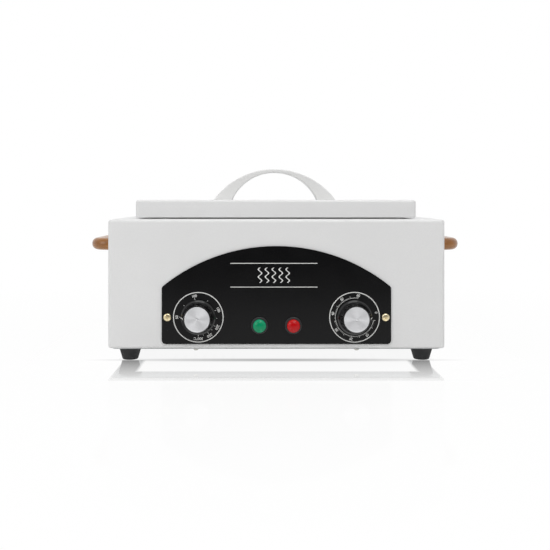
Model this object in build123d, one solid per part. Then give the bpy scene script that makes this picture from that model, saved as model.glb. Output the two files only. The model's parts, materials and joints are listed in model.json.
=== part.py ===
from build123d import *
import os

os.makedirs("parts", exist_ok=True)

# Clearances
body_gap = 0.3  # between pieces that move against each other
slip_fit = 0.05  # radial play of a shaft in its bore
screw_play = 0.2  # radial play of a screw in a clearance hole
thread_play = 0.03  # radial play of a screw in its threaded seat
laid_gap = 0.3  # between soft packing and the sheet beside it

# Chamber: a deep-drawn pot that hangs from its flange
chamber_width = 256.0
chamber_depth = 126.0
chamber_height = 52.0
chamber_sheet = 0.7
chamber_corner = 18.0
chamber_base_radius = 8.0
chamber_flange = 10.0

# Lid
seal_setback = 1.0
seal_width = 6.0
seal_height = 3.0
lid_overhang = 11.0
lid_height = 18.5
lid_sheet = 0.8
lid_corner = 4.0
lid_top_radius = 2.5
lid_base_radius = 1.2
lid_gap = 1.3
lid_flange = 8.5
liner_sheet = 0.6
liner_margin = 1.0
lid_packing_gap = 2.2
pocket_play = 1.0

# Body
side_shelf = 25.0
front_shelf = 20.0
sheet = 1.0
body_corner = 4.0
body_top_radius = 3.0
body_base_radius = 2.5
base_flange = 14.0
control_bay = 55.4
base_plate_sheet = 1.0
base_plate_inset = 4.0

# Heater, its clamps, the packing and the heat shield under the chamber
heater_radius = 3.25
heater_half_length = 98.0
heater_half_depth = 38.0
heater_bend = 14.0
heater_leg_x = 15.0
heater_leg_length = 34.0
pin_radius = 1.5
pin_length = 6.0
clamp_sheet = 1.5
clamp_width = 16.0
clamp_corner = 3.0
clamp_x = 60.0
clamp_overhang = 8.0
nut_height = 3.0
nut_across = 7.0
stud_tail = 1.5
packing_thickness = 8.4
packing_headroom = 2.0
shield_sheet = 0.6
shield_flange = 8.0
packing_hole_play = 1.0
shield_hole_play = 1.5

# Screws; the crown and the rim are shares of the head's radius and height
m4_radius = 1.95
m3_radius = 1.45
head_radius = 4.0
head_height = 2.4
m3_head_radius = 2.6
m3_head_height = 1.8
head_crown = 0.65
head_rim = 0.5
recess_width = 0.9
recess_span = 4.8
screw_end = 1.0
base_screw_tail = 3.0

# Feet
foot_height = 14.0
foot_top_radius = 12.0
foot_base_radius = 8.2
foot_side_inset = 19.0
foot_end_inset = 25.0
foot_recess_radius = 4.6
foot_recess_depth = 8.0
foot_edge = 0.6

# Control panel
panel_width = 232.0
panel_height = 99.0
panel_side_height = 57.6
panel_lift = 4.9
panel_thickness = 1.5
panel_corner = 4.0
panel_screw_inset = 5.8
dial_inset = 37.0
dial_height = 32.0
lamp_spacing = 34.2
lamp_height = 23.7

# Knobs, spindles and the two controls behind the panel
knob_gap = 0.8
knob_height = 16.5
skirt_flare = 3.3  # how far the skirt stands out past the foot of the grip
skirt_edge = 1.3
flare_height = 11.0
flare_depth = 1.6
grip_draft = 0.8
knob_wall = 2.6
knob_cavity_depth = 2.4
hub_radius = 5.5
cap_radius = 12.5
cap_wall = 0.9  # grip round the cap
cap_thickness = 1.2
cap_seat = 0.8
cap_lip = 1.0
cap_bevel = 0.2
cap_dish = 0.3
pointer_width = 1.5
pointer_root = 0.5
pointer_rise = 0.4
pointer_inset = 0.2
spindle_radius = 3.0
spindle_flat = 1.0
spindle_grip = 11.0
spindle_tail = 8.0
boss_radius = 4.5
control_screw_spacing = 23.0
control_plate_width = 42.0
control_plate = 1.6
control_plate_corner = 2.0
control_bore = 6.0
regulator_width = 32.0
regulator_height = 24.0
regulator_corner = 3.0
regulator_tab_offset = 13.5
regulator_block = 24.0
timer_width = 40.0
timer_corner = 4.0
timer_tab_offset = 10.0
timer_block = 28.0
control_height = 28.0
capsule_radius = 11.0
capsule_depth = 5.0
tab_width = 6.3
tab_thickness = 0.8
tab_length = 8.0

# Pilot lamps
bezel_wall = 2.1
bezel_thickness = 2.0
bezel_edge = 0.8
lens_radius = 6.5
lens_seat = 1.2
lens_side = 3.6
lens_dome = 2.4
lamp_barrel_radius = 6.0
lamp_barrel_length = 20.0
lamp_nut_height = 3.0
lamp_nut_radius = 8.6
lamp_tab_width = 3.0
lamp_tab_offset = 3.0

# Handles
bow_width = 138.4
bow_rise = 35.0
bow_foot = 21.0
bow_crown = 3.9
bow_breadth = 20.0
bow_edge = 1.2
bow_screw_depth = 10.0
grip_length = 96.0
grip_gap = 15.8
grip_width = 15.0
grip_thickness = 13.0
grip_flat = 0.6  # flat left between the rounded edges of the bar
grip_bend = 12.5
grip_drop = 28.1
grip_screw_depth = 14.0

# Hinges
hinge_width = 44.0
hinge_spacing = 200.0
knuckle_radius = 2.8
hinge_pin_radius = 1.25
leaf_sheet = 1.2
leaf_length = 11.0
leaf_corner = 2.0
rivet_radius = 1.6
rivet_head_radius = 2.7
rivet_head = 0.8
rivet_spacing = 28.0

# Instrument tray
tray_clearance = 5.0
tray_height = 20.0
tray_sheet = 0.8
tray_rim = 2.5
tray_corner = 13.0
tray_base_radius = 5.0
tray_hole_radius = 3.0
tray_hole_columns = 8
tray_hole_rows = 3
tray_hole_pitch = 25.0

# Electrical parts
sensor_length = 70.0
sensor_offset = 15.0
capillary_radius = 1.0
capillary_bend = 6.0
capillary_run = 14.0
capillary_lift = 4.0
cutout_x = 62.0
cutout_radius = 8.0
cutout_height = 6.0
cutout_ear = 15.0
cutout_ear_width = 10.0
cutout_tab_offset = 4.0
strip_ways = 5
strip_pitch = 10.0
strip_depth = 16.0
strip_height = 14.0
strip_x = 110.0
strip_inset = 34.0
strip_bore_height = 8.0
strip_bore_depth = 6.0
strip_base = 3.0
strip_margin = 2.0
strip_gap = 2.0
strip_well_radius = 2.2
strip_well_depth = 4.0
lead_radius = 1.1
lead_bend = 12.0
lead_low_height = 9.0
lead_rise = 4.0
lead_run = 40.0
lead_turn = 24.0
lead_approach = 18.0
gland_x = 110.0
gland_height = 24.0
gland_bore = 3.6
gland_radius = 9.0
gland_reach = 7.0
gland_inside = 12.0
gland_thread_radius = 6.0
gland_nut_height = 4.0
gland_nut_wall = 2.0
gland_lip = 2.0
gland_flange = 2.1
gland_bevel = 1.0
earth_stud_height = 14.0
earth_stud_offset = 30.0
washer_height = 1.0

# Vents
vent_length = 36.0
vent_width = 4.0
vent_pitch = 11.0
vent_count = 7
vent_spread = 160.0

# Heights
shell_base = foot_height + base_plate_sheet
heater_stack = 2 * heater_radius + clamp_sheet + nut_height + stud_tail
packing_stack = packing_headroom + packing_thickness + shield_sheet
body_height = chamber_height + heater_stack + packing_stack + control_bay
body_top = shell_base + body_height
chamber_floor = body_top - chamber_height
heater_level = chamber_floor - heater_radius
clamp_top = chamber_floor - 2 * heater_radius
packing_top = chamber_floor - heater_stack - packing_headroom
shield_top = packing_top - packing_thickness
shield_base = shield_top - shield_sheet
lid_base = body_top + lid_gap
lid_top = lid_base + lid_height
liner_level = lid_base + lid_sheet
dial_level = shell_base + dial_height
lamp_level = shell_base + lamp_height
grip_level = body_top - grip_drop
control_top = dial_level + control_height / 2

# Knobs and lamps
grip_radius = cap_radius + cap_wall
grip_foot_radius = grip_radius + grip_draft
skirt_radius = grip_foot_radius + skirt_flare
knob_cavity_radius = skirt_radius - knob_wall
bezel_radius = lens_radius + bezel_wall

# Plan sizes
pot_width = chamber_width + 2 * chamber_sheet
pot_depth = chamber_depth + 2 * chamber_sheet
pot_corner = chamber_corner + chamber_sheet
seal_inner = 2 * seal_setback
seal_outer = seal_inner + 2 * seal_width
lid_width = chamber_width + seal_outer + 2 * lid_overhang
lid_depth = chamber_depth + seal_outer + 2 * lid_overhang
body_width = lid_width + 2 * side_shelf
body_depth = lid_depth + 2 * front_shelf
packing_inner = 2 * laid_gap
packing_outer = packing_inner + 2 * packing_thickness
shield_inner = packing_outer + 2 * laid_gap

# Depth runs from the knob caps to the end of the cord gland, with the origin under its middle
knob_reach = panel_thickness + knob_gap + knob_height - cap_seat + cap_thickness
front_y = knob_reach - (knob_reach + body_depth + gland_reach) / 2
body_y = front_y + body_depth / 2
rear_y = front_y + body_depth

hinge_y = body_y + lid_depth / 2 + knuckle_radius + body_gap
hinge_z = body_top + knuckle_radius + body_gap
dial_xs = (dial_inset - panel_width / 2, panel_width / 2 - dial_inset)
lamp_xs = (-lamp_spacing / 2, lamp_spacing / 2)
panel_screw_xs = (panel_screw_inset - panel_width / 2, panel_width / 2 - panel_screw_inset)
hinge_xs = (-hinge_spacing / 2, hinge_spacing / 2)
grip_reach = grip_gap + grip_width
grip_screw_y = (grip_length - grip_width) / 2
bow_screw_x = bow_width / 2 - bow_foot / 2

# Placements: the local Z axis leaves the face it stands on
front = Pos(0, front_y, 0) * Rot(90, 0, 0)
rear = Pos(0, rear_y, 0) * Rot(0, 0, 180) * Rot(90, 0, 0)
from_base = (Align.CENTER, Align.CENTER, Align.MIN)
from_top = (Align.CENTER, Align.CENTER, Align.MAX)


def save(shape, node):
    export_step(shape if isinstance(shape, Compound) else Part([shape]), f"parts/{node}.step")


def group(solids):
    return Compound(children=[solid for piece in solids for solid in piece.solids()])


def rod(radius, length):
    return Cylinder(radius, length, align=from_base)


def drill(radius, depth):
    return Cylinder(radius, 2 * depth)


def plate(width, depth, corner, thickness):
    return extrude(RectangleRounded(width, depth, corner), thickness)


def ring_plate(width, depth, corner, band, thickness):
    hole = plate(width - 2 * band, depth - 2 * band, corner - band, thickness)
    return plate(width, depth, corner, thickness) - hole


def rounded_box(width, depth, height, corner, top_radius, base_radius):
    block = plate(width, depth, corner, height)
    if top_radius > 0:
        block = fillet(block.faces().sort_by(Axis.Z)[-1].edges(), top_radius)
    if base_radius > 0:
        block = fillet(block.faces().sort_by(Axis.Z)[0].edges(), base_radius)
    return block


def turned(*points):
    return revolve(make_face(Plane.XZ * Polyline(*points, close=True)), Axis.Z)


def pan_screw(shank_radius, length, head=head_radius, height=head_height):
    crown = head_crown * head
    return turned(
        (0, -length),
        (shank_radius, -length),
        (shank_radius, 0),
        (head, 0),
        (head, head_rim * height),
        (crown, height),
        (0, height),
    )


def hex_nut(across, height, bore):
    return extrude(RegularPolygon(across / 2, 6, major_radius=False), height) - drill(bore, 2 * height)


def rivet(grip):
    shank = Pos(0, 0, -grip - rivet_head) * rod(rivet_radius, grip + 2 * rivet_head)
    head = rod(rivet_head_radius, rivet_head)
    return shank + head + Pos(0, 0, -grip - rivet_head) * head


def tube(points, radius, bend):
    path = FilletPolyline(*points, radius=bend)
    start = Plane(origin=path @ 0, z_dir=path % 0)
    return sweep(start * Circle(radius), path=path)


def d_profile(radius, play=0.0):
    cut = Pos(0, 2 * radius - spindle_flat + play) * Rectangle(4 * radius, 2 * radius)
    return Circle(radius + play) - cut


# Holes that the panel and the front wall share, in the front placement
def front_holes():
    holes = []
    for x in dial_xs:
        holes.append(Pos(x, dial_level) * drill(boss_radius + screw_play, knob_reach))
        for side in (-1, 1):
            screw_x = x + side * control_screw_spacing / 2
            holes.append(Pos(screw_x, dial_level) * drill(m3_radius + screw_play, knob_reach))
    for x in lamp_xs:
        holes.append(Pos(x, lamp_level) * drill(lamp_barrel_radius + screw_play, knob_reach))
    for x in panel_screw_xs:
        holes.append(Pos(x, dial_level) * drill(m4_radius + thread_play, knob_reach))
    return holes


def foot_places():
    x = body_width / 2 - foot_side_inset
    y = body_depth / 2 - foot_end_inset
    return [Pos(sx * x, body_y + sy * y) for sx in (-1, 1) for sy in (-1, 1)]


def base_screw_places():
    x = body_width / 2 - base_flange / 2
    y = body_depth / 2 - base_flange / 2
    ends = [Pos(sx * x, body_y) for sx in (-1, 1)]
    return ends + [Pos(sx * x / 2, body_y + sy * y) for sx in (-1, 1) for sy in (-1, 1)]


def hinge_rivet_xs():
    return [x + side * rivet_spacing / 2 for x in hinge_xs for side in (-1, 1)]


base_leaf_y = hinge_y + knuckle_radius + body_gap + leaf_length / 2
lid_leaf_z = hinge_z + knuckle_radius + body_gap + leaf_length / 2


# Folded and welded housing with rounded bends, open on top for the chamber and below for the base plate
def housing_shell():
    outer = rounded_box(
        body_width, body_depth, body_height, body_corner, body_top_radius, body_base_radius
    )
    inner = rounded_box(
        body_width - 2 * sheet,
        body_depth - 2 * sheet,
        body_height - 2 * sheet,
        body_corner - sheet,
        body_top_radius - sheet,
        body_base_radius - sheet,
    )
    shell = outer - Pos(0, 0, sheet) * inner
    shell -= plate(body_width - 2 * base_flange, body_depth - 2 * base_flange, body_corner, 2 * sheet)
    opening = plate(pot_width + 2 * laid_gap, pot_depth + 2 * laid_gap, pot_corner + laid_gap, 3 * sheet)
    shell -= Pos(0, 0, body_height - 2 * sheet) * opening
    shell = Pos(0, body_y, shell_base) * shell
    cuts = [front * hole for hole in front_holes()]
    thread = Pos(0, 0, shell_base) * drill(m3_radius + thread_play, 2 * sheet)
    cuts += [place * thread for place in base_screw_places()]
    rivet_hole = drill(rivet_radius + thread_play, 2 * sheet)
    cuts += [Pos(x, base_leaf_y, body_top) * rivet_hole for x in hinge_rivet_xs()]
    for side in (-1, 1):
        for y in (-grip_screw_y, grip_screw_y):
            wall = Pos(side * body_width / 2, body_y + y, grip_level) * Rot(0, 90, 0)
            cuts.append(wall * drill(m4_radius + screw_play, 2 * sheet))
    gland_hole = drill(gland_thread_radius + screw_play, 2 * sheet)
    cuts.append(rear * Pos(-gland_x, gland_height + shell_base) * gland_hole)
    slot = extrude(SlotOverall(vent_length, vent_width, rotation=90), 2 * sheet, both=True)
    for side in (-1, 1):
        for i in range(vent_count):
            x = side * vent_spread / 4 + (i - (vent_count - 1) / 2) * vent_pitch
            cuts.append(rear * Pos(x, (control_top + body_top) / 2) * slot)
    return shell - cuts


# The top frame is one sheet; the front and the rear have short returns that meet the two side sheets
def top_frame_space():
    slab = Box(2 * body_width, 2 * body_depth, body_height, align=from_base)
    return Pos(0, body_y, body_top - body_corner) * slab


def housing_top():
    return housing_shell() & top_frame_space()


def housing_walls():
    walls = housing_shell() - top_frame_space()
    reach = base_flange + sheet
    block = (2 * body_width, body_depth, 2 * body_top)
    ahead = Pos(0, front_y + reach) * Box(*block, align=(Align.CENTER, Align.MAX, Align.CENTER))
    behind = Pos(0, rear_y - reach) * Box(*block, align=(Align.CENTER, Align.MIN, Align.CENTER))
    return group([walls & ahead, walls & behind, walls - ahead - behind])


def base_plate():
    width = body_width - 2 * base_plate_inset
    depth = body_depth - 2 * base_plate_inset
    floor = Pos(0, body_y, foot_height) * plate(width, depth, body_corner, base_plate_sheet)
    screw_hole = Pos(0, 0, foot_height) * drill(m3_radius + screw_play, 2 * base_plate_sheet)
    foot_hole = Pos(0, 0, foot_height) * drill(m4_radius + screw_play, 2 * base_plate_sheet)
    cuts = [place * screw_hole for place in base_screw_places()]
    cuts += [place * foot_hole for place in foot_places()]
    slot = extrude(SlotOverall(vent_length, vent_width, rotation=90), 2 * base_plate_sheet, both=True)
    for side in (-1, 1):
        for i in range(vent_count):
            x = side * vent_spread / 2 + (i - (vent_count - 1) / 2) * vent_pitch
            cuts.append(Pos(x, body_y, foot_height) * slot)
    return floor - cuts


# Tapered rubber foot with a deep recess for its screw
def foot():
    body = turned(
        (0, foot_height),
        (foot_top_radius, foot_height),
        (foot_top_radius, foot_height - foot_edge),
        (foot_base_radius, foot_edge),
        (foot_base_radius - foot_edge, 0),
        (foot_recess_radius, 0),
        (foot_recess_radius, foot_recess_depth),
        (0, foot_recess_depth),
    )
    return body - Pos(0, 0, foot_recess_depth) * drill(m4_radius + screw_play, foot_height)


def foot_screw():
    grip = foot_height - foot_recess_depth + base_plate_sheet + nut_height
    return Pos(0, 0, foot_recess_depth) * Rot(180, 0, 0) * pan_screw(m4_radius, grip + screw_end)


# Flat panel with an arched top
def control_panel():
    half = panel_width / 2
    low = shell_base + panel_lift
    shoulder = low + panel_side_height
    crown = low + panel_height
    sides = Polyline((-half, shoulder), (-half, low), (half, low), (half, shoulder))
    arch = ThreePointArc((half, shoulder), (0, crown), (-half, shoulder))
    outline = make_face(sides + arch)
    outline = fillet(outline.vertices(), panel_corner)
    return front * (extrude(outline, panel_thickness) - front_holes())


# Brass pan head with a cross recess
def panel_screw():
    screw = pan_screw(m4_radius, panel_thickness + 3 * sheet)
    arm = Pos(0, 0, head_height) * Box(recess_width, recess_span, head_height)
    return screw - [arm, Rot(0, 0, 90) * arm]


# Knob: flared skirt, drafted grip, seat for the cap, hollow underside, D-shaped bore and moulded pointer
def knob():
    top = knob_height
    neck = grip_foot_radius
    section = make_face(
        Plane.XZ
        * (
            Polyline(
                (skirt_radius, skirt_edge),
                (skirt_radius, 0),
                (knob_cavity_radius, 0),
                (knob_cavity_radius, knob_cavity_depth),
                (hub_radius, knob_cavity_depth),
                (hub_radius, 0),
                (0, 0),
                (0, top - cap_seat),
                (cap_radius + slip_fit, top - cap_seat),
                (cap_radius + slip_fit, top),
                (grip_radius, top),
                (neck, flare_height),
            )
            + SagittaArc((neck, flare_height), (skirt_radius, skirt_edge), -flare_depth)
        )
    )
    body = revolve(section, Axis.Z)
    rib = make_face(
        Plane.XZ
        * Polyline(
            (cap_radius + pointer_root, knob_cavity_depth + pointer_root),
            (skirt_radius - pointer_inset, skirt_edge),
            (skirt_radius - pointer_inset, 2 * skirt_edge),
            (neck + pointer_rise, flare_height + pointer_rise),
            (grip_radius + pointer_rise, top),
            (cap_radius + pointer_root, top),
            close=True,
        )
    )
    body += extrude(rib, pointer_width / 2, both=True)
    bore = Rot(0, 0, 90) * extrude(d_profile(spindle_radius, slip_fit), spindle_grip)
    return body - bore


# Spun cap with a raised lip and a shallow dished face
def knob_cap():
    face = cap_thickness - cap_dish
    return turned(
        (0, 0),
        (cap_radius, 0),
        (cap_radius, cap_thickness - cap_bevel),
        (cap_radius - cap_bevel, cap_thickness),
        (cap_radius - cap_lip, cap_thickness),
        (cap_radius - cap_lip - cap_dish, face),
        (0, face - cap_bevel),
    )


def spindle():
    tail = panel_thickness + sheet + spindle_tail
    shaft = Pos(0, 0, -tail) * rod(spindle_radius, tail + knob_gap)
    grip = Rot(0, 0, 90) * extrude(d_profile(spindle_radius), spindle_grip - slip_fit)
    return shaft + Pos(0, 0, knob_gap) * grip


knob_base = panel_thickness + knob_gap


# Mounting plate and boss that the regulator and the timer share, in the front placement
def control_mount(x):
    mount = Pos(0, 0, -sheet) * Box(control_plate_width, control_height, control_plate, align=from_top)
    mount = fillet(mount.edges().filter_by(Axis.Z), control_plate_corner)
    mount += Pos(0, 0, -sheet) * rod(boss_radius, sheet + panel_thickness)
    return Pos(x, dial_level) * mount


def control_cuts(x):
    bore = Pos(x, dial_level, panel_thickness) * drill(
        spindle_radius + slip_fit, panel_thickness + sheet + spindle_tail + body_gap
    )
    hole = drill(m3_radius + thread_play, control_bore)
    offset = control_screw_spacing / 2
    return [bore] + [Pos(x + side * offset, dial_level, -sheet) * hole for side in (-1, 1)]


def tabs(x, depth, offset):
    tab = Box(tab_thickness, tab_width, tab_length, align=from_top)
    return [Pos(x + side * offset, dial_level, -depth) * tab for side in (-1, 1)]


regulator_back = sheet + control_plate + regulator_block + capsule_depth
timer_back = sheet + control_plate + timer_block


def temperature_regulator():
    x = dial_xs[0]
    block = Box(regulator_width, regulator_height, regulator_block, align=from_top)
    block = fillet(block.edges().filter_by(Axis.Z), regulator_corner)
    body = control_mount(x) + Pos(x, dial_level, -sheet - control_plate) * block
    body += Pos(x, dial_level, -regulator_back) * rod(capsule_radius, capsule_depth)
    body += tabs(x, regulator_back - capsule_depth, regulator_tab_offset)
    return front * (body - control_cuts(x))


def timer_mechanism():
    x = dial_xs[1]
    block = Box(timer_width, control_height, timer_block, align=from_top)
    block = fillet(block.edges().filter_by(Axis.Z), timer_corner)
    body = control_mount(x) + Pos(x, dial_level, -sheet - control_plate) * block
    body += tabs(x, timer_back, timer_tab_offset)
    return front * (body - control_cuts(x))


def control_screws():
    length = panel_thickness + sheet + control_plate + screw_end
    screw = pan_screw(m3_radius, length, m3_head_radius, m3_head_height)
    xs = [x + side * control_screw_spacing / 2 for x in dial_xs for side in (-1, 1)]
    places = [Pos(x, dial_level, panel_thickness) for x in xs]
    return group([front * place * screw for place in places])


# Lamp body: bezel with a seat for the lens, barrel and two tabs
def lamp_body():
    barrel = turned(
        (0, bezel_thickness - lens_seat),
        (lens_radius + slip_fit, bezel_thickness - lens_seat),
        (lens_radius + slip_fit, bezel_thickness),
        (bezel_radius - bezel_edge, bezel_thickness),
        (bezel_radius, bezel_thickness - bezel_edge),
        (bezel_radius, 0),
        (lamp_barrel_radius, 0),
        (lamp_barrel_radius, -lamp_barrel_length),
        (0, -lamp_barrel_length),
    )
    tab = Box(tab_thickness, lamp_tab_width, tab_length, align=from_top)
    return barrel + [Pos(side * lamp_tab_offset, 0, -lamp_barrel_length) * tab for side in (-1, 1)]


# Lens: a short cylinder that ends in a spherical cap
def lamp_lens():
    crown = lens_seat + lens_side + lens_dome
    sphere_radius = (lens_radius**2 + lens_dome**2) / (2 * lens_dome)
    return rod(lens_radius, crown) & Pos(0, 0, crown - sphere_radius) * Sphere(sphere_radius)


# Drawn lid with rounded edges and a flange folded in along its lower edge
def lid_cover():
    outer = rounded_box(lid_width, lid_depth, lid_height, lid_corner, lid_top_radius, lid_base_radius)
    inner = rounded_box(
        lid_width - 2 * lid_sheet,
        lid_depth - 2 * lid_sheet,
        lid_height - 2 * lid_sheet,
        lid_corner - lid_sheet,
        lid_top_radius - lid_sheet,
        lid_base_radius - lid_sheet,
    )
    cover = outer - Pos(0, 0, lid_sheet) * inner
    cover -= plate(lid_width - 2 * lid_flange, lid_depth - 2 * lid_flange, lid_corner, 2 * lid_sheet)
    cover = Pos(0, body_y, lid_base) * cover
    screw_hole = drill(m4_radius + screw_play, 2 * lid_sheet)
    cuts = [Pos(x, body_y, lid_top) * screw_hole for x in (-bow_screw_x, bow_screw_x)]
    for x in hinge_rivet_xs():
        skirt = Pos(x, body_y + lid_depth / 2, lid_leaf_z) * Rot(90, 0, 0)
        cuts.append(skirt * drill(rivet_radius + thread_play, 2 * lid_sheet))
    return cover - cuts


# Pressed liner: rests on the lid's flange, with a raised channel for the seal
liner_width = lid_width - 2 * lid_sheet - 2 * liner_margin
liner_depth = lid_depth - 2 * lid_sheet - 2 * liner_margin
channel_rise = seal_height - (lid_gap + lid_sheet - chamber_sheet - body_gap)
seal_level = body_top + chamber_sheet + body_gap


def lid_liner():
    channel_width = chamber_width + seal_outer + 2 * laid_gap
    channel_depth = chamber_depth + seal_outer + 2 * laid_gap
    channel_corner = chamber_corner + seal_outer / 2 + laid_gap
    band = seal_width + 2 * laid_gap
    wall = liner_sheet
    roof = ring_plate(
        channel_width + 2 * wall,
        channel_depth + 2 * wall,
        channel_corner + wall,
        band + 2 * wall,
        wall + channel_rise,
    )
    groove = ring_plate(channel_width, channel_depth, channel_corner, band, channel_rise)
    field = plate(liner_width, liner_depth, lid_corner - lid_sheet, liner_sheet)
    return Pos(0, body_y, liner_level) * (field + roof - groove)


def lid_seal():
    corner = chamber_corner + seal_outer / 2
    width = chamber_width + seal_outer
    depth = chamber_depth + seal_outer
    seal = ring_plate(width, depth, corner, seal_width, seal_height)
    return Pos(0, body_y, seal_level) * seal


def lid_packing():
    low = liner_level + liner_sheet + channel_rise
    width = lid_width - 2 * lid_sheet - 2 * lid_packing_gap
    depth = lid_depth - 2 * lid_sheet - 2 * lid_packing_gap
    board = Pos(0, body_y, low) * plate(width, depth, lid_corner, lid_top - lid_sheet - low - laid_gap)
    pockets = [
        Pos(x, body_y, lid_top - lid_sheet) * drill(head_radius + pocket_play, head_height + pocket_play)
        for x in (-bow_screw_x, bow_screw_x)
    ]
    return board - pockets


# Arched carrying handle of the lid
def lid_handle():
    half = bow_width / 2
    inner_half = half - bow_foot
    inner_rise = bow_rise - bow_crown
    outer_arc = ThreePointArc((half, 0), (0, bow_rise), (-half, 0))
    inner_arc = ThreePointArc((-inner_half, 0), (0, inner_rise), (inner_half, 0))
    left = Line((-half, 0), (-inner_half, 0))
    right = Line((inner_half, 0), (half, 0))
    outline = make_face(outer_arc + left + inner_arc + right)
    bow = extrude(Plane.XZ * outline, bow_breadth / 2, both=True)
    sides = bow.faces().filter_by(Axis.Y).edges().filter_by(GeomType.CIRCLE)
    bow = fillet(sides, bow_edge)
    bow -= [Pos(x) * drill(m4_radius + thread_play, bow_screw_depth) for x in (-bow_screw_x, bow_screw_x)]
    return Pos(0, body_y, lid_top) * bow


def lid_handle_screws():
    screw = Rot(180, 0, 0) * pan_screw(m4_radius, lid_sheet + bow_screw_depth - screw_end)
    return group([Pos(x, body_y, lid_top - lid_sheet) * screw for x in (-bow_screw_x, bow_screw_x)])


# Wooden side handle: a bow of rounded section that leaves a finger gap to the wall
def side_handle():
    x = grip_reach - grip_width / 2
    y = grip_screw_y
    path = FilletPolyline((0, -y), (x, -y), (x, y), (0, y), radius=grip_bend)
    wall = Plane(origin=(0, -y, 0), x_dir=(0, 1, 0), z_dir=(1, 0, 0))
    edge = (min(grip_width, grip_thickness) - grip_flat) / 2
    bar = sweep(wall * RectangleRounded(grip_width, grip_thickness, edge), path=path)
    hole = Rot(0, 90, 0) * drill(m4_radius + thread_play, grip_screw_depth)
    bar -= [Pos(0, side * y) * hole for side in (-1, 1)]
    return Pos(body_width / 2, body_y, grip_level) * bar


def side_handle_screws():
    screw = pan_screw(m4_radius, sheet + grip_screw_depth - screw_end)
    screws = []
    for side in (-1, 1):
        for y in (-grip_screw_y, grip_screw_y):
            wall = Pos(side * (body_width / 2 - sheet), body_y + y, grip_level)
            screws.append(wall * Rot(0, -90 * side, 0) * screw)
    return group(screws)


# Butt hinge, along X: the outer knuckles belong to the body leaf and the middle one to the lid leaf
def knuckles(middle):
    third = hinge_width / 3
    barrel = Cylinder(knuckle_radius, third - body_gap) - drill(hinge_pin_radius + slip_fit, third)
    ring = Rot(0, 90, 0) * barrel
    return [ring] if middle else [Pos(-third) * ring, Pos(third) * ring]


def hinge_leaf(middle):
    third = hinge_width / 3
    reach = knuckle_radius + body_gap
    leaf = Pos(0, reach + leaf_length / 2) * plate(hinge_width, leaf_length, leaf_corner, leaf_sheet)
    leaf += Pos(0, reach + leaf_corner) * Box(hinge_width, 2 * leaf_corner, leaf_sheet, align=from_base)
    neck = Box(third - body_gap, reach + leaf_corner, leaf_sheet, align=(Align.CENTER, Align.MIN, Align.MIN))
    for x in (0,) if middle else (-third, third):
        leaf += Pos(x) * neck
    leaf = Pos(0, 0, -knuckle_radius - body_gap) * leaf
    leaf += knuckles(middle)
    leaf -= Rot(0, 90, 0) * Cylinder(hinge_pin_radius + slip_fit, 2 * hinge_width)
    holes = [
        Pos(x, reach + leaf_length / 2, -knuckle_radius) * drill(rivet_radius + thread_play, 2 * leaf_sheet)
        for x in (-rivet_spacing / 2, rivet_spacing / 2)
    ]
    return leaf - holes


def hinge_pin():
    return Rot(0, 90, 0) * Cylinder(hinge_pin_radius, hinge_width)


def body_hinge_rivets():
    pin = rivet(leaf_sheet + sheet)
    return group([Pos(x, base_leaf_y, body_top + leaf_sheet) * pin for x in hinge_rivet_xs()])


def lid_hinge_rivets():
    skin_y = body_y + lid_depth / 2 + leaf_sheet
    pin = Rot(-90, 0, 0) * rivet(leaf_sheet + lid_sheet)
    return group([Pos(x, skin_y, lid_leaf_z) * pin for x in hinge_rivet_xs()])


# Drawn chamber with its flange and the two studs that carry the heater clamps
def chamber():
    outer_radius = chamber_base_radius + chamber_sheet
    outer = rounded_box(pot_width, pot_depth, chamber_height, pot_corner, 0, outer_radius)
    inner_height = chamber_height + chamber_sheet
    inner = rounded_box(
        chamber_width, chamber_depth, inner_height, chamber_corner, 0, chamber_base_radius
    )
    flange_width = chamber_width + 2 * chamber_flange
    flange_depth = chamber_depth + 2 * chamber_flange
    flange = plate(flange_width, flange_depth, chamber_corner + chamber_flange, chamber_sheet)
    pot = outer + Pos(0, 0, chamber_height) * flange - Pos(0, 0, chamber_sheet) * inner
    for x in (-clamp_x, clamp_x):
        pot += Pos(x, 0, -heater_stack) * rod(m4_radius, heater_stack + chamber_sheet / 2)
    return Pos(0, body_y, chamber_floor) * pot


# Perforated tray with a turned-out rim, standing loose on the chamber floor
def instrument_tray():
    width = chamber_width - 2 * tray_clearance
    depth = chamber_depth - 2 * tray_clearance
    outer = rounded_box(width, depth, tray_height, tray_corner, 0, tray_base_radius)
    inner = rounded_box(
        width - 2 * tray_sheet,
        depth - 2 * tray_sheet,
        tray_height,
        tray_corner - tray_sheet,
        0,
        tray_base_radius - tray_sheet,
    )
    rim = plate(width + 2 * tray_rim, depth + 2 * tray_rim, tray_corner + tray_rim, tray_sheet)
    tray = outer + Pos(0, 0, tray_height - tray_sheet) * rim - Pos(0, 0, tray_sheet) * inner
    holes = []
    for column in range(tray_hole_columns):
        for row in range(tray_hole_rows):
            x = (column - (tray_hole_columns - 1) / 2) * tray_hole_pitch
            y = (row - (tray_hole_rows - 1) / 2) * tray_hole_pitch
            holes.append(Pos(x, y) * drill(tray_hole_radius, 2 * tray_sheet))
    return Pos(0, body_y, chamber_floor + chamber_sheet) * (tray - holes)


# Tubular heater bent in one loop, both legs turned down to their pins
def heating_element():
    x = heater_half_length
    y = heater_half_depth
    low = -heater_leg_length
    loop = [
        (-heater_leg_x, y, low),
        (-heater_leg_x, y, 0),
        (-x, y, 0),
        (-x, -y, 0),
        (x, -y, 0),
        (x, y, 0),
        (heater_leg_x, y, 0),
        (heater_leg_x, y, low),
    ]
    heater = tube(loop, heater_radius, heater_bend)
    for side in (-1, 1):
        heater += Pos(side * heater_leg_x, y, low - pin_length) * rod(pin_radius, pin_length)
    return Pos(0, body_y, heater_level) * heater


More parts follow.
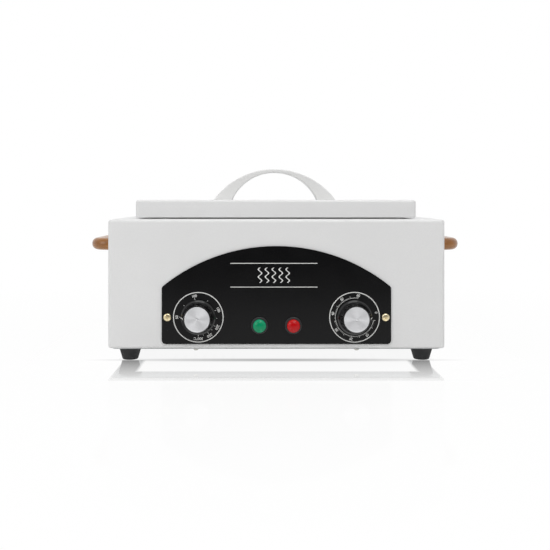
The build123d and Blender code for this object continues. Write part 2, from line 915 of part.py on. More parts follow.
heater_pin_base = heater_level - heater_leg_length - pin_length


def heater_clamps():
    length = 2 * (heater_half_depth + heater_radius + clamp_overhang)
    strip = plate(clamp_width, length, clamp_corner, clamp_sheet)
    strip -= drill(m4_radius + screw_play, 2 * clamp_sheet)
    return group([Pos(x, body_y, clamp_top - clamp_sheet) * strip for x in (-clamp_x, clamp_x)])


def heater_nuts():
    nut = hex_nut(nut_across, nut_height, m4_radius + thread_play)
    level = clamp_top - clamp_sheet - nut_height
    return group([Pos(x, body_y, level) * nut for x in (-clamp_x, clamp_x)])


capillary_x = -sensor_length - capillary_run


def down_holes(play):
    holes = [
        Pos(x, body_y + heater_half_depth) * drill(heater_radius + play, body_top)
        for x in (-heater_leg_x, heater_leg_x)
    ]
    return holes + [Pos(capillary_x, body_y + sensor_offset) * drill(capillary_radius + play, body_top)]


# Blanket in the form of a tub round the chamber, and the sheet tub that holds it
def insulation_blanket():
    outer = plate(
        pot_width + packing_outer,
        pot_depth + packing_outer,
        pot_corner + packing_outer / 2,
        body_top - sheet - laid_gap - shield_top,
    )
    inner = plate(
        pot_width + packing_inner,
        pot_depth + packing_inner,
        pot_corner + packing_inner / 2,
        body_top,
    )
    blanket = outer - Pos(0, 0, packing_thickness) * inner
    return Pos(0, body_y, shield_top) * blanket - down_holes(packing_hole_play)


def heat_shield():
    height = body_top - sheet - shield_base
    width = pot_width + shield_inner
    depth = pot_depth + shield_inner
    corner = pot_corner + shield_inner / 2
    wall = shield_sheet
    outer = plate(width + 2 * wall, depth + 2 * wall, corner + wall, height)
    rim = shield_flange + wall
    flange = plate(width + 2 * rim, depth + 2 * rim, corner + rim, wall)
    tub = outer + Pos(0, 0, height - wall) * flange
    tub -= Pos(0, 0, wall) * plate(width, depth, corner, height)
    return Pos(0, body_y, shield_base) * tub - down_holes(shield_hole_play)


# Sensing bulb under one clamp, with its capillary led down and forward to the regulator
def sensing_bulb():
    bulb = Rot(0, 90, 0) * Cylinder(heater_radius, sensor_length)
    bulb = Pos(-sensor_length / 2, body_y + sensor_offset, heater_level) * bulb
    y = body_y + sensor_offset
    back = front_y + regulator_back
    line = tube(
        [
            (-sensor_length, y, heater_level),
            (capillary_x, y, heater_level),
            (capillary_x, y, dial_level + capillary_lift),
            (capillary_x, back, dial_level + capillary_lift),
        ],
        capillary_radius,
        capillary_bend,
    )
    return bulb + line


# Bimetal cutout with its ear plate against the heat shield
def thermal_cutout():
    ear = Box(2 * cutout_ear, cutout_ear_width, shield_sheet, align=from_top)
    body = ear + Pos(0, 0, -cutout_height) * rod(cutout_radius, cutout_height)
    tab = Pos(0, 0, -cutout_height) * Box(tab_thickness, tab_width, tab_length, align=from_top)
    body += [Pos(side * cutout_tab_offset) * tab for side in (-1, 1)]
    return Pos(cutout_x, body_y, shield_base) * body


cutout_base = shield_base - cutout_height - tab_length


# Terminal strip on the base plate, with a bore for each lead and a well for each screw
strip_y = rear_y - strip_inset
strip_front = strip_y - strip_depth / 2
strip_level = shell_base + strip_bore_height


def strip_x_of(way):
    return strip_x + (way - (strip_ways - 1) / 2) * strip_pitch


def terminal_strip():
    width = strip_ways * strip_pitch + 2 * strip_margin
    strip = Pos(strip_x, strip_y, shell_base) * Box(width, strip_depth, strip_base, align=from_base)
    cell = Box(strip_pitch - strip_gap, strip_depth, strip_height, align=from_base)
    for way in range(strip_ways):
        strip += Pos(strip_x_of(way), strip_y, shell_base) * cell
    bore = Rot(90, 0, 0) * drill(lead_radius + slip_fit, strip_bore_depth)
    well = drill(strip_well_radius, strip_well_depth)
    for way in range(strip_ways):
        strip -= Pos(strip_x_of(way), strip_front, strip_level) * bore
        strip -= Pos(strip_x_of(way), strip_y, shell_base + strip_height) * well
    return strip


# Earth stud with the washer plate that is welded to the base plate
def earth_stud():
    stud = rod(m4_radius, earth_stud_height) + rod(head_radius, washer_height)
    return Pos(strip_x_of(3), strip_front - earth_stud_offset, shell_base) * stud


# Leads: straight runs joined by tangent arcs
def lead(*points):
    return tube(points, lead_radius, lead_bend)


control_tab_y = front_y + regulator_back - capsule_depth + tab_length
timer_tab_y = front_y + timer_back + tab_length
low_level = shell_base + lead_low_height
lead_end_y = strip_front + strip_bore_depth - laid_gap


def lead_supply():
    x = dial_xs[0] - regulator_tab_offset
    return lead(
        (strip_x_of(4), lead_end_y, strip_level),
        (strip_x_of(4), strip_front - 1.5 * lead_run, strip_level),
        (x + 1.5 * lead_run, strip_front - 2 * lead_run, low_level),
        (x, control_tab_y + lead_run, dial_level),
        (x, control_tab_y, dial_level),
    )


def lead_regulator_to_timer():
    x = dial_xs[0] + regulator_tab_offset
    far = dial_xs[1] - timer_tab_offset
    turn = max(control_tab_y, timer_tab_y) + lead_turn
    return lead(
        (x, control_tab_y, dial_level),
        (x, turn, dial_level),
        (far, turn, dial_level),
        (far, timer_tab_y, dial_level),
    )


def lead_timer_to_cutout():
    x = dial_xs[1] + timer_tab_offset
    far = cutout_x + cutout_tab_offset
    level = cutout_base - lead_turn
    return lead(
        (x, timer_tab_y, dial_level),
        (x, timer_tab_y + lead_run, dial_level),
        (far, body_y, level),
        (far, body_y, cutout_base),
    )


def lead_cutout_to_heater():
    near = cutout_x - cutout_tab_offset
    y = body_y + heater_half_depth
    level = cutout_base - lead_turn
    return lead(
        (near, body_y, cutout_base),
        (near, body_y, level),
        (heater_leg_x, y, level),
        (heater_leg_x, y, heater_pin_base),
    )


def lead_heater_return():
    y = body_y + heater_half_depth
    x = strip_x_of(2)
    return lead(
        (-heater_leg_x, y, heater_pin_base),
        (-heater_leg_x, y, low_level + lead_rise),
        (x - lead_run, y - lead_approach, low_level + lead_rise),
        (x, y - lead_approach, strip_level),
        (x, lead_end_y, strip_level),
    )


def lead_earth():
    x = strip_x_of(3)
    end = strip_front - earth_stud_offset + m4_radius
    return Pos(x, end, strip_level) * Rot(-90, 0, 0) * rod(lead_radius, lead_end_y - end)


# Cord gland: flange and dome outside, thread through the rear wall, nut inside, one bore for the cord
def cord_gland():
    gland = turned(
        (gland_bore, gland_reach),
        (gland_bore + gland_lip, gland_reach),
        (gland_radius - gland_bevel, gland_flange + gland_bevel),
        (gland_radius, gland_flange),
        (gland_radius, 0),
        (gland_thread_radius, 0),
        (gland_thread_radius, -gland_inside),
        (gland_bore, -gland_inside),
    )
    return rear * Pos(-gland_x, gland_height + shell_base) * gland


def gland_nut():
    across = 2 * (gland_thread_radius + gland_nut_wall)
    nut = hex_nut(across, gland_nut_height, gland_thread_radius + thread_play)
    return rear * Pos(-gland_x, gland_height + shell_base, -sheet - gland_nut_height) * nut


save(housing_walls(), "housing_shell")
save(housing_top(), "housing_top")
save(base_plate(), "base_plate")
base_screw_length = base_plate_sheet + sheet + base_screw_tail
base_screw = Rot(180, 0, 0) * pan_screw(m3_radius, base_screw_length, m3_head_radius, m3_head_height)
base_screws = [Pos(0, 0, foot_height) * place * base_screw for place in base_screw_places()]
save(group(base_screws), "base_screws")
save(group([place * foot() for place in foot_places()]), "rubber_feet")
save(group([place * foot_screw() for place in foot_places()]), "foot_screws")
foot_nut = Pos(0, 0, shell_base) * hex_nut(nut_across, nut_height, m4_radius + thread_play)
save(group([place * foot_nut for place in foot_places()]), "foot_nuts")

save(control_panel(), "control_panel")
panel_screws = [front * Pos(x, dial_level, panel_thickness) * panel_screw() for x in panel_screw_xs]
save(group(panel_screws), "panel_screws")
save(temperature_regulator(), "temperature_regulator")
save(timer_mechanism(), "timer_mechanism")
save(control_screws(), "control_screws")

# The temperature knob rests with its pointer to the left, the timer knob with its pointer to the right
for name, x, turn in (("temperature", dial_xs[0], 180), ("timer", dial_xs[1], 0)):
    seat = front * Pos(x, dial_level, knob_base) * Rot(0, 0, turn)
    save(seat * knob(), f"{name}_knob")
    save(seat * Pos(0, 0, knob_height - cap_seat) * knob_cap(), f"{name}_knob_cap")
    save(seat * Pos(0, 0, -knob_gap) * spindle(), f"{name}_spindle")

for name, x in (("green", lamp_xs[0]), ("red", lamp_xs[1])):
    seat = front * Pos(x, lamp_level, panel_thickness)
    save(seat * lamp_body(), f"{name}_lamp_body")
    save(seat * Pos(0, 0, bezel_thickness - lens_seat) * lamp_lens(), f"{name}_lamp_lens")
lamp_nut = hex_nut(2 * lamp_nut_radius, lamp_nut_height, lamp_barrel_radius + thread_play)
lamp_nuts = [front * Pos(x, lamp_level, -sheet - lamp_nut_height) * lamp_nut for x in lamp_xs]
save(group(lamp_nuts), "lamp_nuts")

save(lid_cover(), "lid_cover")
save(lid_liner(), "lid_liner")
save(lid_seal(), "lid_seal")
save(lid_packing(), "lid_packing")
save(lid_handle(), "lid_handle")
save(lid_handle_screws(), "lid_handle_screws")

handle = side_handle()
save(handle, "side_handle_right")
save(mirror(handle, Plane.YZ), "side_handle_left")
save(side_handle_screws(), "side_handle_screws")

for name, x in (("left", hinge_xs[0]), ("right", hinge_xs[1])):
    axis = Pos(x, hinge_y, hinge_z)
    save(axis * hinge_leaf(False), f"body_hinge_leaf_{name}")
    save(axis * Rot(0, 0, 180) * Rot(90, 0, 0) * hinge_leaf(True), f"lid_hinge_leaf_{name}")
    save(axis * hinge_pin(), f"hinge_pin_{name}")
save(body_hinge_rivets(), "body_hinge_rivets")
save(lid_hinge_rivets(), "lid_hinge_rivets")

save(chamber(), "chamber")
save(instrument_tray(), "instrument_tray")
save(heating_element(), "heating_element")
save(heater_clamps(), "heater_clamps")
save(heater_nuts(), "heater_nuts")
save(insulation_blanket(), "insulation_blanket")
save(heat_shield(), "heat_shield")
save(sensing_bulb(), "sensing_bulb")
save(thermal_cutout(), "thermal_cutout")
save(terminal_strip(), "terminal_strip")
save(earth_stud(), "earth_stud")
save(lead_supply(), "lead_supply")
save(lead_regulator_to_timer(), "lead_regulator_to_timer")
save(lead_timer_to_cutout(), "lead_timer_to_cutout")
save(lead_cutout_to_heater(), "lead_cutout_to_heater")
save(lead_heater_return(), "lead_heater_return")
save(lead_earth(), "lead_earth")
save(cord_gland(), "cord_gland")
save(gland_nut(), "gland_nut")

overall_width = body_width + 2 * grip_reach
overall_depth = knob_reach + body_depth + gland_reach
print("overall", round(overall_width, 2), round(overall_depth, 2), round(lid_top + bow_rise, 2))
print("front plane", round(front_y, 3), "rear plane", round(rear_y, 3))
print("body top", body_top, "lid top", lid_top, "hinge", round(hinge_y, 3), round(hinge_z, 3))
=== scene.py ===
import json
import math

import bpy
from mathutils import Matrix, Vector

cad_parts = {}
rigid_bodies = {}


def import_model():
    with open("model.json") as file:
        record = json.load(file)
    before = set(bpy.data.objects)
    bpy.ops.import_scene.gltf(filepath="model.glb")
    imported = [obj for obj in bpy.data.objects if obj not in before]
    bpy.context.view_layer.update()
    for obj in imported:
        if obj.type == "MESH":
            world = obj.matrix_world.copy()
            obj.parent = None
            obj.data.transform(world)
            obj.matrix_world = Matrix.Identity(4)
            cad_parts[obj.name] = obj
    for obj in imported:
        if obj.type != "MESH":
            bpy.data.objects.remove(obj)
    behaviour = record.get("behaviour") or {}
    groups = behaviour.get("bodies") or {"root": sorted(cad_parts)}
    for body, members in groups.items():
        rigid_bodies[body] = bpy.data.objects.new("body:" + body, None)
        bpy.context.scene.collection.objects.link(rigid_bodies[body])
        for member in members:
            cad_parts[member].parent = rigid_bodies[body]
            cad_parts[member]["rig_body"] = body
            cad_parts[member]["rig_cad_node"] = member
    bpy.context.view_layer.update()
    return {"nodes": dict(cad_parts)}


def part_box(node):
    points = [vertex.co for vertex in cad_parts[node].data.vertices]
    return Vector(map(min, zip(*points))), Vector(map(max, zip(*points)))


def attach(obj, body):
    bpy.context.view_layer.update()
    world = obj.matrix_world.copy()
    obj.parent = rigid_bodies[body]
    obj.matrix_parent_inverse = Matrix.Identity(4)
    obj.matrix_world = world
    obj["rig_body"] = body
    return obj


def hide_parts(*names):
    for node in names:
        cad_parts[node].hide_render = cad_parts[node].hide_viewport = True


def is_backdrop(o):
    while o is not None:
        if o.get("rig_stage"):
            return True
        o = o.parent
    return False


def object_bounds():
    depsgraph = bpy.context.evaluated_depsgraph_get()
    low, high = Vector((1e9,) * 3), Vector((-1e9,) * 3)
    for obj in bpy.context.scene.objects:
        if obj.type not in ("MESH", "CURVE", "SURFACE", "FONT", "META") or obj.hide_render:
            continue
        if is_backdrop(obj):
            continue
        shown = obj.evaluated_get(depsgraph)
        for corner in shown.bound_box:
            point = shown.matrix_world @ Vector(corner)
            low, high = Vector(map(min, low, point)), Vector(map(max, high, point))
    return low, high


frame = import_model()
nodes = frame["nodes"]
mm = 0.001
weld = 0.002 * mm  # points nearer than this are one point


def deselectAll():
    if bpy.context.object and bpy.context.object.mode != "OBJECT":
        bpy.ops.object.mode_set(mode="OBJECT")
    bpy.ops.object.select_all(action="DESELECT")


def makeActive(piece):
    deselectAll()
    piece.select_set(True)
    bpy.context.view_layer.objects.active = piece


def pickVertices(piece, test):
    # leaves the piece in edit mode with only the matching vertices selected
    makeActive(piece)
    bpy.ops.object.mode_set(mode="EDIT")
    bpy.ops.mesh.select_mode(type="VERT")
    bpy.ops.mesh.select_all(action="DESELECT")
    bpy.ops.object.mode_set(mode="OBJECT")
    for vertex in piece.data.vertices:
        vertex.select = test(vertex.co)
    bpy.ops.object.mode_set(mode="EDIT")


def applyModifier(piece, kind, **settings):
    makeActive(piece)
    bpy.ops.object.modifier_add(type=kind)
    modifier = piece.modifiers[-1]
    for name, value in settings.items():
        setattr(modifier, name, value)
    bpy.ops.object.modifier_apply(modifier=modifier.name)


def cleanMesh(piece, smoothAngle=35):
    makeActive(piece)
    bpy.ops.object.mode_set(mode="EDIT")
    bpy.ops.mesh.select_all(action="SELECT")
    bpy.ops.mesh.remove_doubles(threshold=weld)
    bpy.ops.mesh.normals_make_consistent(inside=False)
    bpy.ops.object.mode_set(mode="OBJECT")
    bpy.ops.object.shade_smooth_by_angle(angle=math.radians(smoothAngle))


def bakePlace(piece):
    makeActive(piece)
    bpy.ops.object.transform_apply(location=True, rotation=True, scale=True)


def faceFront(piece, x, y, z, turn=0):
    # local Z leaves the front wall and local Y points up; turn is about local Z
    makeActive(piece)
    piece.rotation_euler = (0, 0, math.radians(turn))
    bakePlace(piece)
    piece.rotation_euler = (math.pi / 2, 0, 0)
    piece.location = (x, y, z)
    bakePlace(piece)


def joinPieces(pieces, name):
    deselectAll()
    for piece in pieces:
        piece.select_set(True)
    bpy.context.view_layer.objects.active = pieces[0]
    bpy.ops.object.join()
    pieces[0].name = name
    return pieces[0]


def copyPiece(piece, name):
    twin = piece.copy()
    twin.data = piece.data.copy()
    twin.name = name
    bpy.context.scene.collection.objects.link(twin)
    return twin


def turnedPiece(name, rings, steps=96):
    # a disc extruded and scaled from ring to ring; rings are (radius, height) in mm
    deselectAll()
    radius, height = rings[0]
    bpy.ops.mesh.primitive_circle_add(
        vertices=steps, radius=radius * mm, fill_type="NGON", location=(0, 0, height * mm)
    )
    piece = bpy.context.object
    piece.name = name
    bakePlace(piece)
    bpy.ops.object.mode_set(mode="EDIT")
    bpy.ops.mesh.select_mode(type="FACE")
    bpy.ops.mesh.select_all(action="SELECT")
    bpy.ops.mesh.duplicate()  # the first disc stays as the closed end
    for (r0, h0), (r1, h1) in zip(rings, rings[1:]):
        step = (0, 0, (h1 - h0) * mm)
        bpy.ops.mesh.extrude_region_move(TRANSFORM_OT_translate={"value": step})
        bpy.ops.transform.resize(value=(r1 / r0, r1 / r0, 1), center_override=(0, 0, h1 * mm))
    cleanMesh(piece)
    return piece


def middleOf(box):
    low, high = box
    return (low.x + high.x) / 2, (low.z + high.z) / 2


def hexColour(code):
    # sRGB hex to the linear values that nodes take
    parts = [int(code[i:i + 2], 16) / 255 for i in (1, 3, 5)]
    linear = [p / 12.92 if p <= 0.04045 else ((p + 0.055) / 1.055) ** 2.4 for p in parts]
    return (*linear, 1.0)


def addNode(tree, kind, sockets=None, **settings):
    node = tree.nodes.new("ShaderNode" + kind)
    for name, value in settings.items():
        setattr(node, name, value)
    for key, value in (sockets or {}).items():
        if isinstance(value, bpy.types.NodeSocket):
            tree.links.new(value, node.inputs[key])
        else:
            node.inputs[key].default_value = value
    return node


def calc(tree, operation, *values):
    return addNode(tree, "Math", dict(enumerate(values)), operation=operation).outputs[0]


def vectorCalc(tree, operation, *values):
    return addNode(tree, "VectorMath", dict(enumerate(values)), operation=operation).outputs[0]


def lengthOf(tree, vector):
    return addNode(tree, "VectorMath", {0: vector}, operation="LENGTH").outputs["Value"]


def mapRange(tree, value, fromMin=0.0, fromMax=1.0, toMin=0.0, toMax=1.0):
    ends = {"From Min": fromMin, "From Max": fromMax, "To Min": toMin, "To Max": toMax}
    return addNode(tree, "MapRange", {"Value": value, **ends}).outputs[0]


def mixedColour(tree, factor, first, second):
    # each colour is a hex code or a socket
    pair = [hexColour(c) if isinstance(c, str) else c for c in (first, second)]
    mix = addNode(tree, "Mix", {0: factor, 6: pair[0], 7: pair[1]}, data_type="RGBA")
    return mix.outputs[2]


def mixedShader(tree, share, first, second):
    return addNode(tree, "MixShader", {0: share, 1: first, 2: second}).outputs[0]


def perSize(size):
    # texture scale for features of that many millimetres, on coordinates in metres
    return 1 / (size * mm)


def noise(tree, vector, size, **sockets):
    return addNode(tree, "TexNoise", {"Vector": vector, "Scale": perSize(size), **sockets})


def stretch(tree, vector, scale):
    return addNode(tree, "Mapping", {"Vector": vector, "Scale": scale}).outputs[0]


def spokeFrom(tree, where, look):
    # runs out from the nearer of two axes that stand at plus and minus axisX
    split = addNode(tree, "SeparateXYZ", {"Vector": where})
    offX = calc(tree, "SUBTRACT", calc(tree, "ABSOLUTE", split.outputs["X"]), look["axisX"] * mm)
    fromX = calc(tree, "MULTIPLY", offX, calc(tree, "SIGN", split.outputs["X"]))
    fromZ = calc(tree, "SUBTRACT", split.outputs["Z"], look["axisZ"] * mm)
    return addNode(tree, "CombineXYZ", {"X": fromX, "Z": fromZ}).outputs[0]


def turnedRings(tree, distance, pitch):
    return calc(tree, "SINE", calc(tree, "MULTIPLY", distance, 2 * math.pi / (pitch * mm)))


def startMaterial(name, **sockets):
    # sockets are the shader's own constants, such as Metallic=1.0 or Coat_Weight=0.5
    material = bpy.data.materials.new(name)
    material.use_nodes = True
    tree = material.node_tree
    shader = tree.nodes["Principled BSDF"]
    for key, value in sockets.items():
        shader.inputs[key.replace("_", " ")].default_value = value
    where = addNode(tree, "TexCoord").outputs["Object"]
    return material, tree, shader, where


def setGloss(tree, shader, factor, low, high):
    roughness = mapRange(tree, factor, toMin=low, toMax=high)
    tree.links.new(roughness, shader.inputs["Roughness"])


def setBump(tree, shader, height, depth, strength=1.0):
    # depth in mm
    sockets = {"Height": height, "Distance": depth * mm, "Strength": strength}
    bump = addNode(tree, "Bump", sockets).outputs["Normal"]
    tree.links.new(bump, shader.inputs["Normal"])


def setColour(tree, shader, factor, first, second):
    tree.links.new(mixedColour(tree, factor, first, second), shader.inputs["Base Color"])


def coverNodes(material, names):
    for name in names:
        slots = nodes[name].data.materials
        slots.clear()
        slots.append(material)


def cover(piece, material):
    piece.data.materials.clear()
    piece.data.materials.append(material)


# how far the patches and the grain move the colour and the gloss of every plain finish
drift = {"patchFrom": 0.35, "patchTo": 0.65, "share": 0.7}


def plainFinish(name, look, covered=(), **sockets):
    # slow drift of colour and gloss over patches, and a fine grain in the bump
    material, tree, shader, where = startMaterial(name, **sockets)
    patches = noise(tree, where, look["patch"], Detail=4.0, Roughness=0.55).outputs["Fac"]
    grain = noise(tree, where, look["grain"], Detail=3.0, Roughness=0.6).outputs["Fac"]
    spread = mapRange(tree, patches, drift["patchFrom"], drift["patchTo"])
    both = calc(tree, "MULTIPLY_ADD", spread, grain, grain)
    factor = calc(tree, "MULTIPLY", both, drift["share"])
    setColour(tree, shader, factor, *look["colours"])
    setGloss(tree, shader, factor, *look["gloss"])
    setBump(tree, shader, grain, look["height"])
    coverNodes(material, covered)
    return material


print("stage 1: paints, plastics and rubber")
# powder coat on steel sheet: satin, with the fine orange peel of the baked powder
coatLook = {
    "patch": 90, "grain": 1.6, "height": 0.012, "gloss": (0.36, 0.46),
    "colours": ("#DDDDDD", "#E3E3E3"),
}
coatNodes = ["housing_shell", "housing_top", "lid_cover"]
plainFinish("powder coat white, baked", coatLook, coatNodes, IOR=1.5)

# ABS, injection moulded: smooth and a little glossier than the coat
absLook = {
    "patch": 40, "grain": 0.9, "height": 0.006, "gloss": (0.26, 0.34),
    "colours": ("#DFDFDE", "#E5E5E4"),
}
plainFinish("ABS white, injection moulded", absLook, ["lid_handle"], IOR=1.54)

# stoving enamel on aluminium sheet: near black, satin, with a fine sprayed grain
enamelLook = {
    "patch": 25, "grain": 0.7, "height": 0.008, "gloss": (0.20, 0.28),
    "colours": ("#0B0B0C", "#101011"),
}
plainFinish(
    "stoving enamel black, sprayed", enamelLook, ["control_panel"], IOR=1.5, Specular_IOR_Level=0.2
)

# phenolic moulding, polished tool: deep black gloss with faint flow marks
knobLook = {
    "patch": 12, "grain": 2.5, "height": 0.006, "gloss": (0.10, 0.20),
    "colours": ("#08080A", "#0D0D0E"),
}
glossPhenolic = plainFinish("phenolic black, polished moulding", knobLook, IOR=1.6)

# phenolic moulding, plain tool: the dull black of switch bodies
bodyLook = {
    "patch": 10, "grain": 0.5, "height": 0.015, "gloss": (0.45, 0.60),
    "colours": ("#161617", "#1E1E1F"),
}
dullNodes = [
    "green_lamp_body", "red_lamp_body", "lamp_nuts", "timer_mechanism", "thermal_cutout",
    "cord_gland", "gland_nut",
]
plainFinish("phenolic black, dull moulding", bodyLook, dullNodes, IOR=1.6)

# moulded rubber: matt, slightly dusty
rubberLook = {
    "patch": 6, "grain": 0.5, "height": 0.03, "gloss": (0.62, 0.80),
    "colours": ("#242425", "#303031"),
}
plainFinish("natural rubber black, moulded", rubberLook, ["rubber_feet"], IOR=1.52)

# silicone cord seal: dark, waxy sheen
sealLook = {
    "patch": 15, "grain": 0.8, "height": 0.01, "gloss": (0.42, 0.55),
    "colours": ("#2B2B2D", "#38383A"),
}
plainFinish("silicone rubber dark, extruded", sealLook, ["lid_seal"], IOR=1.43)

# nylon, moulded: off-white and a little cloudy
nylonLook = {
    "patch": 8, "grain": 0.6, "height": 0.01, "gloss": (0.38, 0.50),
    "colours": ("#DDD8C8", "#E8E4D6"),
}
plainFinish("nylon natural, moulded", nylonLook, ["terminal_strip"], IOR=1.53, Subsurface_Weight=0.1)

# screen ink: flat white with the faint mottling of a screen mesh
inkLook = {
    "patch": 4, "grain": 0.3, "height": 0.004, "gloss": (0.45, 0.6),
    "colours": ("#D6D6D4", "#E4E4E2"),
}
screenInk = plainFinish("screen ink white, printed", inkLook, IOR=1.5)

# PVC insulation, extruded over the wire
leads = (
    ("brown", ("#4A2A18", "#5A3420"), ["lead_supply", "lead_timer_to_cutout"]),
    ("red", ("#9C1712", "#B0201A"), ["lead_regulator_to_timer", "lead_cutout_to_heater"]),
    ("blue", ("#153C86", "#1D4A9C"), ["lead_heater_return"]),
    ("green", ("#3E7D22", "#4E9030"), ["lead_earth"]),
)
for colourName, pair, leadNodes in leads:
    leadLook = {"patch": 12, "grain": 0.4, "height": 0.008, "gloss": (0.35, 0.5), "colours": pair}
    plainFinish(f"PVC {colourName}, extruded", leadLook, leadNodes, IOR=1.53)

print("stage 2: metals")
# zinc plate on screws, rivets and hinges: bright grey with a faint yellow cast
zincLook = {
    "patch": 5, "grain": 0.35, "height": 0.006, "gloss": (0.24, 0.40),
    "colours": ("#B9B8B0", "#CFCEC8"),
}
zincNodes = [
    "base_screws", "foot_screws", "foot_nuts", "lid_handle_screws", "side_handle_screws",
    "control_screws", "body_hinge_leaf_left", "body_hinge_leaf_right", "lid_hinge_leaf_left",
    "lid_hinge_leaf_right", "body_hinge_rivets", "lid_hinge_rivets", "heater_clamps",
    "heater_nuts", "earth_stud",
]
plainFinish("steel, zinc plated", zincLook, zincNodes, Metallic=1.0)

# ground steel: pins and spindles with a fine grain from the wheel
groundLook = {
    "patch": 3, "grain": 0.25, "height": 0.005, "gloss": (0.18, 0.30),
    "colours": ("#B4B5B6", "#CBCCCD"),
}
groundNodes = ["hinge_pin_left", "hinge_pin_right", "temperature_spindle", "timer_spindle"]
plainFinish("steel, ground bright", groundLook, groundNodes, Metallic=1.0)

# hot-dip galvanised sheet: flat grey crystals, each with its own tone and gloss
zincSheet = {"crystal": 9, "frost": 0.8, "height": 0.01, "gloss": (0.34, 0.52)}
galvanised, tree, shader, where = startMaterial("steel sheet, galvanised", Metallic=1.0)
spangle = addNode(
    tree, "TexVoronoi", {"Vector": where, "Scale": perSize(zincSheet["crystal"]), "Randomness": 1.0},
    feature="F1",
)
tone = addNode(tree, "SeparateColor", {"Color": spangle.outputs["Color"]}).outputs[0]
frost = noise(tree, where, zincSheet["frost"], Detail=3.0).outputs["Fac"]
setColour(tree, shader, tone, "#9DA0A2", "#BDC0C1")
setGloss(tree, shader, tone, *zincSheet["gloss"])
setBump(tree, shader, frost, zincSheet["height"])
coverNodes(galvanised, ["base_plate", "heat_shield", "temperature_regulator"])

# stainless sheet, brushed along its length before it was drawn
brushLook = {"along": 0.02, "line": 0.5, "smear": 35, "height": 0.008, "gloss": (0.20, 0.42)}
stainless, tree, shader, where = startMaterial("stainless steel, brushed", Metallic=1.0)
stretched = stretch(tree, where, (brushLook["along"], 1.0, 1.0))
brushing = noise(tree, stretched, brushLook["line"], Detail=4.0, Roughness=0.7).outputs["Fac"]
smears = noise(tree, where, brushLook["smear"], Detail=5.0).outputs["Fac"]
setColour(tree, shader, smears, "#B2B2B0", "#C9C9C7")
setGloss(tree, shader, brushing, *brushLook["gloss"])
setBump(tree, shader, brushing, brushLook["height"])
coverNodes(stainless, ["chamber", "instrument_tray", "lid_liner"])

# heater sheath: nickel steel that heat has browned and blued in bands
sheathLook = {
    "stain": 45, "scale": 0.6, "height": 0.012, "gloss": (0.42, 0.60),
    "brown": (0.35, "#4A4038"), "purple": (0.5, "#5A4E58"), "grey": (0.65, "#6E6E72"),
}
heaterSheath, tree, shader, where = startMaterial("nickel steel, heat stained", Metallic=1.0)
stain = noise(tree, where, sheathLook["stain"], Detail=3.0).outputs["Fac"]
ramp = addNode(tree, "ValToRGB", {"Fac": stain})
elements = ramp.color_ramp.elements
for element, (place, code) in zip(elements, (sheathLook["brown"], sheathLook["grey"])):
    element.position = place
    element.color = hexColour(code)
elements.new(sheathLook["purple"][0]).color = hexColour(sheathLook["purple"][1])
tree.links.new(ramp.outputs["Color"], shader.inputs["Base Color"])
scale = noise(tree, where, sheathLook["scale"], Detail=3.0).outputs["Fac"]
setGloss(tree, shader, scale, *sheathLook["gloss"])
setBump(tree, shader, scale, sheathLook["height"])
coverNodes(heaterSheath, ["heating_element"])

# drawn copper: the bulb and its capillary, dulled by handling
copperLook = {
    "patch": 9, "grain": 0.3, "height": 0.004, "gloss": (0.26, 0.42),
    "colours": ("#B06E4A", "#C9865F"),
}
plainFinish("copper, drawn", copperLook, ["sensing_bulb"], Metallic=1.0)

# pale brass: turned screw heads
brassLook = {
    "patch": 2.5, "grain": 0.25, "height": 0.006, "gloss": (0.20, 0.34),
    "colours": ("#DCCB9C", "#F2E6C6"),
}
paleBrass = plainFinish("brass, turned pale", brassLook, Metallic=1.0)

# spun aluminium: rings from the lathe tool, so light gathers in wedges that meet at the middle
capLook = {
    "axisX": 79, "axisZ": 47, "ring": 0.35, "uneven": 0.5, "height": 0.004, "gloss": (0.30, 0.42),
}
spunAluminium, tree, shader, where = startMaterial("aluminium, spun", Metallic=1.0, Anisotropic=0.85)
spoke = spokeFrom(tree, where, capLook)
around = vectorCalc(tree, "NORMALIZE", vectorCalc(tree, "CROSS_PRODUCT", spoke, (0, 1, 0)))
distance = lengthOf(tree, spoke)
rings = turnedRings(tree, distance, capLook["ring"])
ringVector = addNode(tree, "CombineXYZ", {"X": distance}).outputs[0]
uneven = noise(tree, ringVector, capLook["uneven"], Detail=3.0).outputs["Fac"]
setColour(tree, shader, uneven, "#DFE0E2", "#F4F4F6")
setGloss(tree, shader, uneven, *capLook["gloss"])
setBump(tree, shader, calc(tree, "MULTIPLY", rings, uneven), capLook["height"])
tree.links.new(around, shader.inputs["Tangent"])
coverNodes(spunAluminium, ["temperature_knob_cap", "timer_knob_cap"])

print("stage 3: wood, lenses and packing")
# beech, turned and varnished: long pores and soft bands under a clear gloss
woodLook = {
    "along": 0.12, "wander": 10, "bend": 0.012, "band": 7, "bandsPerUnit": 6.3, "pore": 0.5,
    "poreLength": 14, "poreFrom": 0.55, "poreTo": 0.75, "height": 0.02, "gloss": (0.32, 0.50),
}
beech, tree, shader, where = startMaterial(
    "beech, stained and varnished", Coat_Weight=0.5, Coat_Roughness=0.12, IOR=1.5
)
along = stretch(tree, where, (1.0, woodLook["along"], 1.0))
wander = noise(tree, along, woodLook["wander"], Detail=2.0).outputs["Color"]
bent = addNode(
    tree, "Mix", {0: woodLook["bend"], 4: along, 5: wander}, data_type="VECTOR", clamp_factor=False
).outputs[1]
bandScale = perSize(woodLook["band"]) / woodLook["bandsPerUnit"]
bands = addNode(
    tree, "TexWave",
    {"Vector": bent, "Scale": bandScale, "Distortion": 3.0, "Detail": 2.0, "Detail Scale": 1.5},
    bands_direction="Z",
).outputs["Fac"]
poreVector = stretch(tree, where, (1.0, woodLook["pore"] / woodLook["poreLength"], 1.0))
pores = noise(tree, poreVector, woodLook["pore"], Detail=2.0).outputs["Fac"]
